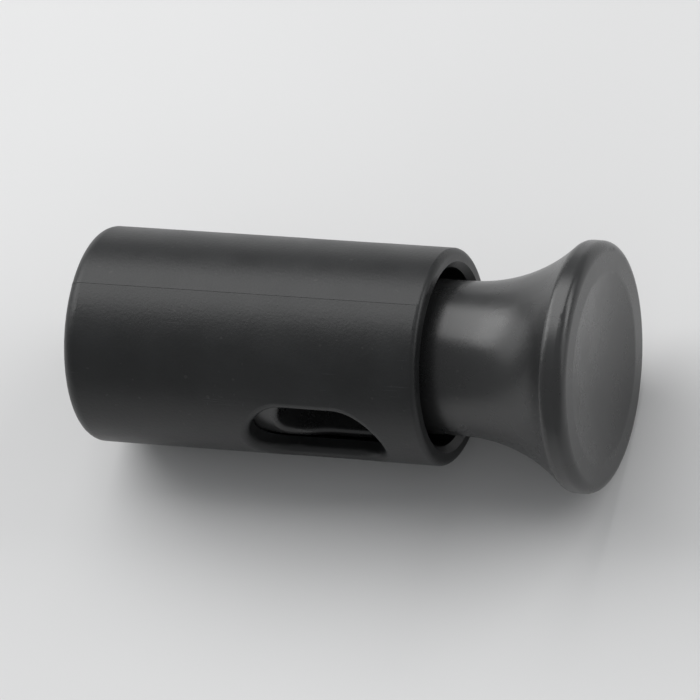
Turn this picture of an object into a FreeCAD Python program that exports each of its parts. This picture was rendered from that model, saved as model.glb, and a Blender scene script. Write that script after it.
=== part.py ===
"""A spring cord lock: a one-piece barrel, a push plunger and the spring that drives the plunger outwards.

Frame, in millimetres: the origin is the centre of the cord hole, on the barrel's axis. +X runs along that
axis towards the push button, the cord passes through along Y, and +Z points away from what the lock lies on.
The plunger is drawn where it pinches two cords side by side, which is the rest pose.
"""

import FreeCAD
import Part
import math
import os

# Barrel
BARREL_RADIUS = 6.2
BARREL_LENGTH = 21.5
MOUTH_X = 6.8
FLOOR_THICKNESS = 1.5
BORE_RADIUS = 5.1
CLOSED_END_ROUNDING = 0.8
MOUTH_ROUNDING = 0.35
MOUTH_CHAMFER = 0.35
GATE_DIMPLE_RADIUS = 1.3
GATE_DIMPLE_DEPTH = 0.2
BOSS_RADIUS = 2.3
BOSS_HEIGHT = 1.3
BOSS_CHAMFER = 0.4

# Cord hole, an obround that crosses the barrel and the plunger. Two squeezed cords hold it open at rest.
HOLE_LENGTH = 8.0
HOLE_WIDTH = 5.0
HOLE_EDGE_ROUNDING = 0.45
SQUEEZED_CORD = 3.25
PLUNGER_HOLE_LENGTH = 7.0
PINCH_EDGE_ROUNDING = 0.35

# Plunger
PROTRUSION = 9.1
PRESS_TRAVEL = 1.5
RELEASE_TRAVEL = 2.0
RUNNING_CLEARANCE = 0.1
STOP_GAP = 0.05
BOTTOM_GAP = 0.25
NECK_RADIUS = 4.4
NECK_LENGTH = 1.0
SHOULDER_CHAMFER = 0.4
SHOULDER_INSET = 0.8
HEAD_RADIUS = 7.15
HEAD_THICKNESS = 1.3
HEAD_FACE_ROUNDING = 0.6
HEAD_BACK_ROUNDING = 0.55
DISH_RADIUS = 5.4
DISH_DEPTH = 0.45
DISH_RIM_ROUNDING = 1.0
POCKET_RADIUS = 3.9
PINCH_WALL = 2.0
LEG_SLOT_WIDTH = 1.0
LEG_SLOT_LENGTH = 4.4

# Barbs on two of the plunger's legs, and the grooves they run in
BARB_WIDTH = 3.0
BARB_LENGTH = 1.6
BARB_RAMP = 0.9
BARB_PROUD = 0.35
GROOVE_SIDE_CLEARANCE = 0.2

# The ridges left at +Z and -Z where the two halves of the barrel's mould met, a little larger than the barrel
RIDGE_WIDTH = 0.12
RIDGE_GROWTH = 1.003

# Spring
WIRE_DIAMETER = 0.7
SPRING_OUTER_RADIUS = 3.6
ACTIVE_COILS = 5
END_COILS = 1
END_COIL_GAP = 0.04
PITCH_EASE_TURNS = 0.5
POINTS_PER_TURN = 16

CLOSED_END_X = MOUTH_X - BARREL_LENGTH
FLOOR_X = CLOSED_END_X + FLOOR_THICKNESS
STEM_RADIUS = BORE_RADIUS - RUNNING_CLEARANCE
SKIRT_END_X = FLOOR_X + PRESS_TRAVEL + BOTTOM_GAP
PINCH_EDGE_X = HOLE_LENGTH / 2 - 2 * SQUEEZED_CORD
POCKET_TOP_X = PINCH_EDGE_X - PINCH_WALL
BARB_STOP_X = SKIRT_END_X + BARB_LENGTH
GROOVE_END_X = BARB_STOP_X + RELEASE_TRAVEL + STOP_GAP
BARB_RADIUS = STEM_RADIUS + BARB_PROUD
GROOVE_RADIUS = BARB_RADIUS + RUNNING_CLEARANCE
SHOULDER_X = MOUTH_X - RELEASE_TRAVEL - SHOULDER_INSET
FACE_X = MOUTH_X + PROTRUSION
HEAD_BACK_X = FACE_X - HEAD_THICKNESS
FLARE_X = MOUTH_X + NECK_LENGTH

X_AXIS = FreeCAD.Vector(1, 0, 0)
CENTRE = FreeCAD.Vector(0, 0, 0)
OVERSHOOT = 1.0


def at(x, radius):
    """A point of a turned outline: x along the axis, radius away from it."""
    return FreeCAD.Vector(x, radius, 0)


def rod(x_start, x_end, radius):
    """A cylinder on the X axis."""
    return Part.makeCylinder(radius, x_end - x_start, FreeCAD.Vector(x_start, 0, 0), X_AXIS)


def cone(x_start, x_end, radius_start, radius_end):
    """A truncated cone on the X axis."""
    base = FreeCAD.Vector(x_start, 0, 0)
    return Part.makeCone(radius_start, radius_end, x_end - x_start, base, X_AXIS)


def block(x_start, x_end, width_y, width_z):
    """A box centred on the X axis."""
    corner = FreeCAD.Vector(x_start, -width_y / 2, -width_z / 2)
    return Part.makeBox(x_end - x_start, width_y, width_z, corner)


def turned(edges):
    """The solid made by turning a closed outline about the X axis."""
    face = Part.Face(Part.Wire(Part.__sortEdges__(edges)))
    return face.revolve(CENTRE, X_AXIS, 360)


def cord_tunnel(x_start, x_end):
    """A prism with round ends, along Y, that cuts the cord hole through a part."""
    end_radius = HOLE_WIDTH / 2
    reach = BARREL_RADIUS + OVERSHOOT
    y_axis = FreeCAD.Vector(0, 1, 0)
    middle = Part.makeBox(
        x_end - x_start - HOLE_WIDTH, 2 * reach, HOLE_WIDTH,
        FreeCAD.Vector(x_start + end_radius, -reach, -end_radius),
    )
    ends = [
        Part.makeCylinder(end_radius, 2 * reach, FreeCAD.Vector(x, -reach, 0), y_axis)
        for x in (x_start + end_radius, x_end - end_radius)
    ]
    return middle.fuse(ends).removeSplitter()


def ring_edge(shape, x, radius):
    """The circular edge of a turned shape at x with that radius."""
    for edge in shape.Edges:
        if not isinstance(edge.Curve, Part.Circle):
            continue
        if abs(edge.Curve.Center.x - x) < 1e-6 and abs(edge.Curve.Radius - radius) < 1e-6:
            return edge
    raise ValueError("no such edge")


def rim_edges(shape, radius, x_start, x_end):
    """The edges where a cord hole from x_start to x_end breaks out of a round surface of that radius."""
    slack = 1e-4

    def on_rim(point):
        inside_x = x_start - slack < point.x < x_end + slack
        inside_z = abs(point.z) < HOLE_WIDTH / 2 + slack
        return inside_x and inside_z and abs(math.hypot(point.y, point.z) - radius) < slack

    edges = [edge for edge in shape.Edges if not edge.Degenerated]
    return [edge for edge in edges if all(on_rim(point) for point in edge.discretize(5))]


def with_ridges(tube):
    """The turned barrel with the thin ridges that its mould left, cut from a slightly larger copy of it."""
    larger = tube.scaled(RIDGE_GROWTH, FreeCAD.Vector(CLOSED_END_X, 0, 0))
    ridge_plane = block(CLOSED_END_X, MOUTH_X - MOUTH_ROUNDING, RIDGE_WIDTH, 4 * BARREL_RADIUS)
    return tube.fuse(larger.common(ridge_plane))


def barrel_body():
    """The barrel: a blind tube with rounded ends, crossed by the cord hole near its mouth."""
    body = rod(CLOSED_END_X, MOUTH_X, BARREL_RADIUS)
    body = body.makeFillet(CLOSED_END_ROUNDING, [ring_edge(body, CLOSED_END_X, BARREL_RADIUS)])
    body = body.makeFillet(MOUTH_ROUNDING, [ring_edge(body, MOUTH_X, BARREL_RADIUS)])
    body = with_ridges(body)
    body = body.cut(rod(FLOOR_X, MOUTH_X + OVERSHOOT, BORE_RADIUS))
    body = body.cut(cone(
        MOUTH_X - MOUTH_CHAMFER, MOUTH_X + MOUTH_CHAMFER,
        BORE_RADIUS, BORE_RADIUS + 2 * MOUTH_CHAMFER,
    ))
    groove_width = BARB_WIDTH + 2 * GROOVE_SIDE_CLEARANCE
    grooves = block(FLOOR_X, GROOVE_END_X, groove_width, 4 * BARREL_RADIUS)
    body = body.cut(grooves.common(rod(FLOOR_X, GROOVE_END_X, GROOVE_RADIUS)))
    body = body.cut(cord_tunnel(-HOLE_LENGTH / 2, HOLE_LENGTH / 2))
    rims = rim_edges(body, BARREL_RADIUS, -HOLE_LENGTH / 2, HOLE_LENGTH / 2)
    body = body.makeFillet(HOLE_EDGE_ROUNDING, rims)
    boss = rod(FLOOR_X, FLOOR_X + BOSS_HEIGHT, BOSS_RADIUS)
    boss = boss.makeChamfer(BOSS_CHAMFER, [ring_edge(boss, FLOOR_X + BOSS_HEIGHT, BOSS_RADIUS)])
    body = body.fuse(boss)
    dimple = rod(CLOSED_END_X - OVERSHOOT, CLOSED_END_X + GATE_DIMPLE_DEPTH, GATE_DIMPLE_RADIUS)
    return body.cut(dimple).removeSplitter()


def flare_arc():
    """The concave arc that leaves the neck along the axis and widens to the button."""
    length = HEAD_BACK_X - FLARE_X
    rise = HEAD_RADIUS - NECK_RADIUS
    radius = (length ** 2 + rise ** 2) / (2 * rise)
    half_angle = math.asin(length / radius) / 2
    middle = at(FLARE_X + radius * math.sin(half_angle), NECK_RADIUS + radius * (1 - math.cos(half_angle)))
    return Part.Arc(at(FLARE_X, NECK_RADIUS), middle, at(HEAD_BACK_X, HEAD_RADIUS)).toShape()


def thumb_dish():
    """The sphere that cuts the shallow dish in the button's face."""
    radius = (DISH_RADIUS ** 2 + DISH_DEPTH ** 2) / (2 * DISH_DEPTH)
    return Part.makeSphere(radius, FreeCAD.Vector(FACE_X - DISH_DEPTH + radius, 0, 0))


def plunger_blank():
    """The plunger before it is cut: stem, neck, trumpet flare and dished button."""
    stem_and_neck = [
        at(FACE_X, 0),
        at(SKIRT_END_X, 0),
        at(SKIRT_END_X, STEM_RADIUS),
        at(SHOULDER_X - SHOULDER_CHAMFER, STEM_RADIUS),
        at(SHOULDER_X, NECK_RADIUS),
        at(FLARE_X, NECK_RADIUS),
    ]
    button = [at(HEAD_BACK_X, HEAD_RADIUS), at(FACE_X, HEAD_RADIUS), at(FACE_X, 0)]
    edges = [Part.makeLine(a, b) for points in (stem_and_neck, button) for a, b in zip(points, points[1:])]
    blank = turned(edges + [flare_arc()])
    blank = blank.makeFillet(HEAD_BACK_ROUNDING, [ring_edge(blank, HEAD_BACK_X, HEAD_RADIUS)])
    blank = blank.makeFillet(HEAD_FACE_ROUNDING, [ring_edge(blank, FACE_X, HEAD_RADIUS)])
    blank = blank.cut(thumb_dish())
    return blank.makeFillet(DISH_RIM_ROUNDING, [ring_edge(blank, FACE_X, DISH_RADIUS)])


def barbs():
    """The two catches, on the legs at +Z and -Z, with a ramp that lets them past the mouth."""
    root_radius = POCKET_RADIUS + 0.5 * (STEM_RADIUS - POCKET_RADIUS)
    corners = [
        at(SKIRT_END_X, root_radius),
        at(SKIRT_END_X, STEM_RADIUS - RUNNING_CLEARANCE),
        at(SKIRT_END_X + BARB_RAMP, BARB_RADIUS),
        at(BARB_STOP_X, BARB_RADIUS),
        at(BARB_STOP_X, root_radius),
    ]
    loop = corners + corners[:1]
    ring = turned([Part.makeLine(a, b) for a, b in zip(loop, loop[1:])])
    return ring.common(block(SKIRT_END_X, BARB_STOP_X, BARB_WIDTH, 4 * BARB_RADIUS))


def plunger():
    """The plunger in one piece: button, neck, drilled stem, spring pocket and four legs."""
    hole_end_x = PINCH_EDGE_X + PLUNGER_HOLE_LENGTH
    body = plunger_blank().cut(cord_tunnel(PINCH_EDGE_X, hole_end_x))
    body = body.makeFillet(PINCH_EDGE_ROUNDING, rim_edges(body, STEM_RADIUS, PINCH_EDGE_X, hole_end_x))
    body = body.cut(rod(SKIRT_END_X - OVERSHOOT, POCKET_TOP_X, POCKET_RADIUS))
    body = body.fuse(barbs())
    slot = block(SKIRT_END_X - OVERSHOOT, SKIRT_END_X + LEG_SLOT_LENGTH, LEG_SLOT_WIDTH, 4 * STEM_RADIUS)
    for angle in (45, -45):
        turned_slot = slot.copy()
        turned_slot.rotate(CENTRE, X_AXIS, angle)
        body = body.cut(turned_slot)
    return body.removeSplitter()


def spring_rise(turn, turns, active_pitch, end_pitch):
    """How far along the axis the wire's centre line is after that many turns of it."""
    active = turns - 2 * END_COILS
    ease = PITCH_EASE_TURNS
    into = min(max(turn - END_COILS, 0.0), active)
    if into < ease:
        eased = into ** 2 / (2 * ease)
    elif into > active - ease:
        eased = active - ease - (active - into) ** 2 / (2 * ease)
    else:
        eased = into - ease / 2
    return end_pitch * turn + (active_pitch - end_pitch) * eased


def compression_spring():
    """The compression spring, with closed end coils ground flat, as long as the rest pose lets it be."""
    wire_radius = WIRE_DIAMETER / 2
    coil_radius = SPRING_OUTER_RADIUS - wire_radius
    turns = ACTIVE_COILS + 2 * END_COILS
    end_pitch = WIRE_DIAMETER + END_COIL_GAP
    spring_length = POCKET_TOP_X - FLOOR_X
    start = FLOOR_X + wire_radius / 2
    rise = spring_length - wire_radius
    eased_turns = ACTIVE_COILS - PITCH_EASE_TURNS
    active_pitch = end_pitch + (rise - end_pitch * turns) / eased_turns
    points = []
    for step in range(turns * POINTS_PER_TURN + 1):
        turn = step / POINTS_PER_TURN
        angle = 2 * math.pi * turn
        x = start + spring_rise(turn, turns, active_pitch, end_pitch)
        points.append(FreeCAD.Vector(x, coil_radius * math.cos(angle), coil_radius * math.sin(angle)))
    centre_line = Part.BSplineCurve()
    centre_line.interpolate(points)
    tangent = centre_line.tangent(centre_line.FirstParameter)[0]
    section = Part.Wire(Part.makeCircle(wire_radius, points[0], tangent))
    sweep = Part.BRepOffsetAPI.MakePipeShell(Part.Wire(centre_line.toShape()))
    sweep.setBiNormalMode(X_AXIS)
    sweep.add(section, False, False)
    sweep.build()
    sweep.makeSolid()
    coil = sweep.shape()
    return coil.common(rod(FLOOR_X, POCKET_TOP_X, 2 * SPRING_OUTER_RADIUS))


def save(name, shape):
    """Writes one piece to its own STEP file, once it is known to be one valid solid."""
    if len(shape.Solids) != 1 or not shape.isValid():
        raise ValueError(name + " is not one valid solid")
    shape.Solids[0].exportStep("parts/" + name + ".step")


os.makedirs("parts", exist_ok=True)
save("barrel_body", barrel_body())
save("plunger", plunger())
save("compression_spring", compression_spring())
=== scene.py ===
import math

import bmesh
import bpy
from mathutils import Matrix, Vector


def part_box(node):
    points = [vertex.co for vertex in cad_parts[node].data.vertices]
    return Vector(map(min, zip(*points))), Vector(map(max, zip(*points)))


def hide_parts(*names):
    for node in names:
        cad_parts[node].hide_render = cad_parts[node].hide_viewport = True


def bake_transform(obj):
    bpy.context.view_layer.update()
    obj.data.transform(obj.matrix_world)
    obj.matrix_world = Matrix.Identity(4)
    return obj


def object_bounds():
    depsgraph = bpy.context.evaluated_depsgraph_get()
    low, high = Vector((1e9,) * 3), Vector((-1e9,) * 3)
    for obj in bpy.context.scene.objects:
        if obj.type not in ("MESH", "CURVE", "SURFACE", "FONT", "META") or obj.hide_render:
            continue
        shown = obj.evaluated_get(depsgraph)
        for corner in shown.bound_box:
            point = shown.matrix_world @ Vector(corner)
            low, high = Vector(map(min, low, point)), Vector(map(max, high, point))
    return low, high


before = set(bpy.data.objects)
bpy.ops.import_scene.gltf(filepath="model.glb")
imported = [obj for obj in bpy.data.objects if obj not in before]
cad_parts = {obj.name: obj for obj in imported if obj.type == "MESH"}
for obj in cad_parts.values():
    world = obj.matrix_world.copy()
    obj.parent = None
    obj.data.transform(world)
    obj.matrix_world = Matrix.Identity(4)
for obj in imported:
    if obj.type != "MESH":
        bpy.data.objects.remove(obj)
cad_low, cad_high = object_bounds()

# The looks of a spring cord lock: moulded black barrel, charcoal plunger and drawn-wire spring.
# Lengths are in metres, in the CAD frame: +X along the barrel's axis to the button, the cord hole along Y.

MM = 0.001
AXIS = Vector((1, 0, 0))

# Viewing angle of the reference: how far the button end turns to the viewer, how far the cord hole leans from
# upright, and how steeply the axis runs down to the right.
BUTTON_TURN = math.radians(20.5)
HOLE_LEAN = math.radians(27.0)
AXIS_SLOPE = math.radians(4.0)
LENS_MM = 400.0
SENSOR_MM = 36.0
FRAME_FILL = 0.72
CLIP_RANGE = (0.01, 10.0)

barrel_low, barrel_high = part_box("barrel_body")
plunger_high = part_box("plunger")[1]
spring_low, spring_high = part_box("compression_spring")
BARREL_RADIUS = barrel_high.z
HEAD_RADIUS = plunger_high.z
MOUTH_X = barrel_high.x
CLOSED_END_X = barrel_low.x
FACE_X = plunger_high.x


# ---------------------------------------------------------------- node helpers

class Graph:
    """A material's node tree, with short calls to add and join nodes."""

    def __init__(self, name):
        self.material = bpy.data.materials.new(name)
        self.material.use_nodes = True
        self.nodes = self.material.node_tree.nodes
        self.links = self.material.node_tree.links
        self.surface = self.nodes["Principled BSDF"]
        self.place = self.add("ShaderNodeTexCoord").outputs["Object"]

    def add(self, kind, **settings):
        node = self.nodes.new(kind)
        for key, value in settings.items():
            setattr(node, key, value)
        return node

    def feed(self, socket, value):
        if isinstance(value, bpy.types.NodeSocket):
            self.links.new(value, socket)
        else:
            socket.default_value = value

    def maths(self, operation, *values, clamp=False):
        node = self.add("ShaderNodeMath", operation=operation, use_clamp=clamp)
        for socket, value in zip(node.inputs, values):
            self.feed(socket, value)
        return node.outputs[0]

    def stretched(self, scale):
        """Object coordinates in millimetres, multiplied by scale on each axis."""
        node = self.add("ShaderNodeVectorMath", operation="MULTIPLY")
        self.feed(node.inputs[0], self.place)
        node.inputs[1].default_value = tuple(s / MM for s in scale)
        return node.outputs[0]

    def noise(self, scale, detail=3.0, roughness=0.5, stretch=(1, 1, 1)):
        """Noise between 0 and 1, with scale features to the millimetre."""
        node = self.add("ShaderNodeTexNoise")
        self.feed(node.inputs["Vector"], self.stretched(stretch))
        node.inputs["Scale"].default_value = scale
        node.inputs["Detail"].default_value = detail
        node.inputs["Roughness"].default_value = roughness
        return node.outputs["Fac"]

    def ramp(self, value, low, high, to_low=0.0, to_high=1.0):
        """value moved from low..high to to_low..to_high, held at the ends, with eased ends."""
        node = self.add("ShaderNodeMapRange", interpolation_type="SMOOTHSTEP")
        for socket, v in zip(node.inputs, (value, low, high, to_low, to_high)):
            self.feed(socket, v)
        return node.outputs[0]

    def mix(self, factor, a, b):
        node = self.add("ShaderNodeMix", data_type="RGBA")
        self.feed(node.inputs["Factor"], factor)
        self.feed(node.inputs["A"], a)
        self.feed(node.inputs["B"], b)
        return node.outputs["Result"]

    def edges(self, width):
        """1 on edges sharper than the shading can hide, 0 on open faces."""
        bevel = self.add("ShaderNodeBevel", samples=6)
        bevel.inputs["Radius"].default_value = width
        geometry = self.add("ShaderNodeNewGeometry")
        dot = self.add("ShaderNodeVectorMath", operation="DOT_PRODUCT")
        self.feed(dot.inputs[0], bevel.outputs[0])
        self.feed(dot.inputs[1], geometry.outputs["Normal"])
        return self.ramp(dot.outputs["Value"], 0.995, 0.90)

    def bump(self, height, distance, normal=None):
        node = self.add("ShaderNodeBump")
        node.inputs["Strength"].default_value = 1.0
        node.inputs["Distance"].default_value = distance
        self.feed(node.inputs["Height"], height)
        if normal is not None:
            self.feed(node.inputs["Normal"], normal)
        return node.outputs["Normal"]


def grey(value, tint=(1.0, 1.0, 1.0)):
    return (value * tint[0], value * tint[1], value * tint[2], 1.0)


EDGE_WIDTH = 0.25 * MM
WAVE_DEPTH = 0.05 * MM
SCRATCH_DEPTH = 0.006 * MM
DRAW_MARK_DEPTH = 0.004 * MM
SCRATCH_TONE = 0.6
DUST_TONE = 0.05
ROUGHNESS_SPREAD = 0.035
DUST = grey(0.25, (1.0, 0.97, 0.92))


def scratches(g, strength, seed_shift):
    """1 on fine scratches along and across the barrel's axis, which gather in handled patches."""
    long_scratch = g.noise(1.6, 1.0, 0.4, (0.16, 6.0, 6.0))
    cross_scratch = g.noise(1.4, 1.0, 0.4, (7.0, 0.35, 2.2))
    marks = g.maths("MAXIMUM", g.ramp(long_scratch, 0.70, 0.74), g.ramp(cross_scratch, 0.71, 0.75))
    worn_patch = g.ramp(g.noise(0.28, 3.0, 0.6, (1, 1, 1 + seed_shift)), 0.52, 0.70)
    return g.maths("MULTIPLY", marks, g.maths("MULTIPLY", worn_patch, strength))


def moulded_plastic(name, shade, tint, gloss, roughness, grain_depth, scuffs, edge_wear, seed_shift):
    """Injection-moulded plastic: fine eroded grain, slow waviness, flow mottle, scuffs and rubbed edges."""
    g = Graph(name)
    mottle = g.noise(0.35, 4.0, 0.6, (1 + seed_shift, 1, 1))
    grain = g.noise(5.5, 3.0, 0.65)
    waviness = g.noise(0.16, 1.0, 0.4, (1, 1 + seed_shift, 1))
    scratch = scratches(g, scuffs, seed_shift)
    edge = g.maths("MULTIPLY", g.edges(EDGE_WIDTH), g.ramp(g.noise(0.9, 3.0, 0.7), 0.30, 0.75, 0.25, 1.0))
    dust_spots = g.ramp(g.noise(3.2, 0.0, 0.0), 0.80, 0.86)

    base = g.mix(g.ramp(mottle, 0.3, 0.7), grey(shade * 0.88, tint), grey(shade * 1.12, tint))
    base = g.mix(g.maths("MULTIPLY", edge, edge_wear), base, grey(shade * 2.1, tint))
    base = g.mix(g.maths("MULTIPLY", scratch, SCRATCH_TONE), base, grey(shade * 3.0, tint))
    base = g.mix(g.maths("MULTIPLY", dust_spots, DUST_TONE), base, DUST)

    rough = g.ramp(mottle, 0.25, 0.75, roughness - ROUGHNESS_SPREAD, roughness + ROUGHNESS_SPREAD)
    rough = g.maths("ADD", rough, g.maths("MULTIPLY", scratch, 0.12))
    rough = g.maths("SUBTRACT", rough, g.maths("MULTIPLY", edge, 0.06), clamp=True)

    normal = g.bump(waviness, WAVE_DEPTH)
    normal = g.bump(grain, grain_depth, normal)
    normal = g.bump(scratch, -SCRATCH_DEPTH, normal)
    g.feed(g.surface.inputs["Base Color"], base)
    g.feed(g.surface.inputs["Roughness"], rough)
    g.feed(g.surface.inputs["Normal"], normal)
    g.surface.inputs["IOR"].default_value = 1.5
    g.surface.inputs["Specular IOR Level"].default_value = gloss
    return g.material


def spring_wire():
    """Drawn spring steel: bright metal with fine draw marks and a faint oil film."""
    g = Graph("spring_wire")
    draw = g.noise(4.0, 3.0, 0.6, (4.0, 0.6, 0.6))
    film = g.noise(0.5, 3.0, 0.6)
    base = g.mix(g.ramp(film, 0.3, 0.7), (0.42, 0.41, 0.39, 1.0), (0.56, 0.55, 0.53, 1.0))
    g.feed(g.surface.inputs["Base Color"], base)
    g.surface.inputs["Metallic"].default_value = 1.0
    g.feed(g.surface.inputs["Roughness"], g.ramp(draw, 0.3, 0.7, 0.22, 0.38))
    g.feed(g.surface.inputs["Normal"], g.bump(draw, DRAW_MARK_DEPTH))
    return g.material


barrel_plastic = moulded_plastic(
    "barrel_plastic", shade=0.013, tint=(0.95, 1.0, 1.04), gloss=0.42, roughness=0.38,
    grain_depth=0.012 * MM, scuffs=0.9, edge_wear=0.55, seed_shift=0.0,
)
plunger_plastic = moulded_plastic(
    "plunger_plastic", shade=0.020, tint=(0.98, 1.0, 1.02), gloss=0.65, roughness=0.28,
    grain_depth=0.0025 * MM, scuffs=0.5, edge_wear=0.2, seed_shift=0.13,
)
spring_steel = spring_wire()


def wear(obj, material):
    obj.data.materials.clear()
    obj.data.materials.append(material)


wear(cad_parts["barrel_body"], barrel_plastic)
wear(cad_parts["plunger"], plunger_plastic)


# ---------------------------------------------------------------- spring

WIRE_RADIUS = 0.35 * MM
COIL_TURNS = 7
END_COILS = 1
END_COIL_PITCH = 0.74 * MM
PITCH_EASE_TURNS = 0.5
STEPS_PER_TURN = 40
WIRE_SIDES = 14


def spring_height(turn, length):
    """How far up the wire's centre line is after that many turns: closed end coils, then an even pitch."""
    active = COIL_TURNS - 2 * END_COILS
    ease = PITCH_EASE_TURNS
    into = min(max(turn - END_COILS, 0.0), active)
    if into < ease:
        eased = into ** 2 / (2 * ease)
    elif into > active - ease:
        eased = active - ease - (active - into) ** 2 / (2 * ease)
    else:
        eased = into - ease / 2
    extra = (length - WIRE_RADIUS - END_COIL_PITCH * COIL_TURNS) / (active - ease)
    return WIRE_RADIUS / 2 + END_COIL_PITCH * turn + extra * eased


def coil_spring():
    """The compression spring as a swept wire whose end coils are ground flat."""
    length = spring_high.x - spring_low.x
    coil_radius = spring_high.z - WIRE_RADIUS
    mesh = bmesh.new()
    rings = []
    for step in range(COIL_TURNS * STEPS_PER_TURN + 1):
        turn = step / STEPS_PER_TURN
        angle = 2 * math.pi * turn
        outward = Vector((0, math.cos(angle), math.sin(angle)))
        centre = Vector((spring_low.x + spring_height(turn, length), 0, 0)) + outward * coil_radius
        ring = []
        for side in range(WIRE_SIDES):
            around = 2 * math.pi * side / WIRE_SIDES
            point = centre + WIRE_RADIUS * (math.cos(around) * outward + math.sin(around) * AXIS)
            point.x = min(max(point.x, spring_low.x), spring_high.x)
            ring.append(mesh.verts.new(point))
        rings.append(ring)
    for a, b in zip(rings, rings[1:]):
        for side in range(WIRE_SIDES):
            after = (side + 1) % WIRE_SIDES
            mesh.faces.new((a[side], a[after], b[after], b[side]))
    mesh.faces.new(rings[0])
    mesh.faces.new(list(reversed(rings[-1])))
    bmesh.ops.recalc_face_normals(mesh, faces=mesh.faces)
    for face in mesh.faces:
        face.smooth = True
    data = bpy.data.meshes.new("coil_spring")
    mesh.to_mesh(data)
    mesh.free()
    obj = bpy.data.objects.new("coil_spring", data)
    bpy.context.scene.collection.objects.link(obj)
    return obj


spring = coil_spring()
wear(spring, spring_steel)
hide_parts("compression_spring")
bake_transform(spring)


# ---------------------------------------------------------------- floor, light, camera

FLOOR_SIZE = 1.4
FLOOR_TONES = (0.71, 0.74)
CLOSED_END_ROUNDING = 0.8 * MM
BUTTON_RIM_HALF = 0.65 * MM
BARREL_FOOT_X = CLOSED_END_X + CLOSED_END_ROUNDING
HEAD_FOOT_X = FACE_X - BUTTON_RIM_HALF

# The key light's direction: above the viewer's, turned about the barrel's axis, and towards its closed end.
# The barrel mirrors it to the viewer a third of the way up from its middle line to its upper edge.
KEY_ABOVE_VIEW = math.radians(56)
KEY_ALONG_BARREL = -0.42
LIGHT_DISTANCE = 0.32
SIDE_DISTANCE = 0.30
ROOM_LIGHT = 0.34
ROOM_TINT = (0.97, 0.985, 1.0)
FAR_FLOOR_LIGHT = 0.26


def pale_floor():
    """The floor, tilted so that the lock lies on its button's rim and on the barrel's closed end."""
    fall = HEAD_RADIUS - BARREL_RADIUS
    tilt = math.atan2(fall, HEAD_FOOT_X - BARREL_FOOT_X)
    mesh = bmesh.new()
    bmesh.ops.create_grid(mesh, x_segments=1, y_segments=1, size=FLOOR_SIZE / 2)
    data = bpy.data.meshes.new("floor")
    mesh.to_mesh(data)
    mesh.free()
    obj = bpy.data.objects.new("floor", data)
    bpy.context.scene.collection.objects.link(obj)
    obj.matrix_world = Matrix.Translation((HEAD_FOOT_X, 0, -HEAD_RADIUS)) @ Matrix.Rotation(tilt, 4, "Y")
    g = Graph("floor_paint")
    tone = g.ramp(g.noise(0.02, 3.0, 0.5), 0.3, 0.7)
    g.feed(g.surface.inputs["Base Color"], g.mix(tone, *(grey(value) for value in FLOOR_TONES)))
    g.surface.inputs["Roughness"].default_value = 0.9
    g.surface.inputs["Specular IOR Level"].default_value = 0.05
    wear(obj, g.material)


def camera_axes():
    """Right, up and backwards of the camera, in the CAD frame, from the three viewing angles."""
    turn_c, turn_s = math.cos(BUTTON_TURN), math.sin(BUTTON_TURN)
    lean_c, lean_s = math.cos(HOLE_LEAN), math.sin(HOLE_LEAN)
    right = Vector((turn_c, lean_s * turn_s, -turn_s * lean_c))
    up = Vector((0, lean_c, lean_s))
    back = Vector((turn_s, -lean_s * turn_c, turn_c * lean_c))
    slope_c, slope_s = math.cos(AXIS_SLOPE), math.sin(AXIS_SLOPE)
    return right * slope_c + up * slope_s, up * slope_c - right * slope_s, back


def add_camera(right, up, back, centre):
    data = bpy.data.cameras.new("camera")
    data.lens = LENS_MM
    data.sensor_width = SENSOR_MM
    data.clip_start, data.clip_end = CLIP_RANGE
    span = cad_high.x - cad_low.x
    distance = span * math.cos(BUTTON_TURN) / FRAME_FILL * LENS_MM / SENSOR_MM
    obj = bpy.data.objects.new("camera", data)
    bpy.context.scene.collection.objects.link(obj)
    rotation = Matrix((right, up, back)).transposed().to_4x4()
    obj.matrix_world = Matrix.Translation(centre + back * distance) @ rotation
    bpy.context.scene.camera = obj


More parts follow.
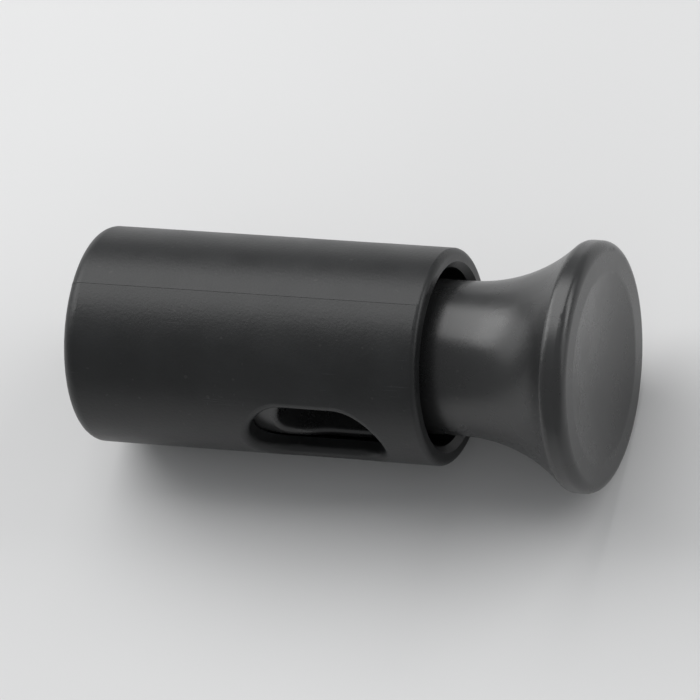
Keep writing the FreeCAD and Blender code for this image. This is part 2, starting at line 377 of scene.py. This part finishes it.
def softbox(name, direction, centre, distance, size, watts):
    """A rectangular light aimed at the object, its long side as near as it can be to the barrel's axis."""
    data = bpy.data.lights.new(name, "AREA")
    data.shape = "RECTANGLE"
    data.size, data.size_y = size
    data.energy = watts
    obj = bpy.data.objects.new(name, data)
    bpy.context.scene.collection.objects.link(obj)
    back = Vector(direction).normalized()
    side = AXIS - back * AXIS.dot(back)
    side.normalize()
    rotation = Matrix((side, back.cross(side), back)).transposed().to_4x4()
    obj.matrix_world = Matrix.Translation(centre + back * distance) @ rotation
    obj.visible_camera = False


def room_light():
    """Even light from all round. The camera sees it as bright as the far floor, so that no horizon shows."""
    world = bpy.data.worlds.new("room")
    world.use_nodes = True
    nodes, links = world.node_tree.nodes, world.node_tree.links
    path = nodes.new("ShaderNodeLightPath")
    level = nodes.new("ShaderNodeMapRange")
    level.inputs["To Min"].default_value = ROOM_LIGHT
    level.inputs["To Max"].default_value = FAR_FLOOR_LIGHT
    links.new(path.outputs["Is Camera Ray"], level.inputs["Value"])
    links.new(level.outputs[0], nodes["Background"].inputs["Strength"])
    nodes["Background"].inputs["Color"].default_value = grey(1.0, ROOM_TINT)
    bpy.context.scene.world = world


def studio_lights(towards_viewer, centre):
    """The key light, fills for the barrel's closed end, its far side and the button, and the room."""
    across_view = (towards_viewer - AXIS * towards_viewer.dot(AXIS)).normalized()
    across_up = across_view.cross(AXIS)
    around = across_view * math.cos(KEY_ABOVE_VIEW) + across_up * math.sin(KEY_ABOVE_VIEW)
    key = AXIS * KEY_ALONG_BARREL + around * math.sqrt(1 - KEY_ALONG_BARREL ** 2)
    side = AXIS * -0.85 + across_view * 0.35 + across_up * 0.40
    softbox("key", key, centre, LIGHT_DISTANCE, size=(0.40, 0.30), watts=0.9)
    softbox("side", side, centre, SIDE_DISTANCE, size=(0.20, 0.20), watts=0.13)
    softbox("rear", (0.70, 0.45, 0.55), centre, LIGHT_DISTANCE, size=(0.22, 0.12), watts=0.22)
    softbox("front", (0.92, 0.10, 0.36), centre, LIGHT_DISTANCE, size=(0.26, 0.16), watts=0.11)
    room_light()


pale_floor()
right, up, back = camera_axes()
centre = (cad_low + cad_high) / 2
add_camera(right, up, back, centre)
studio_lights(back, centre)
bpy.context.scene.view_settings.view_transform = "Standard"
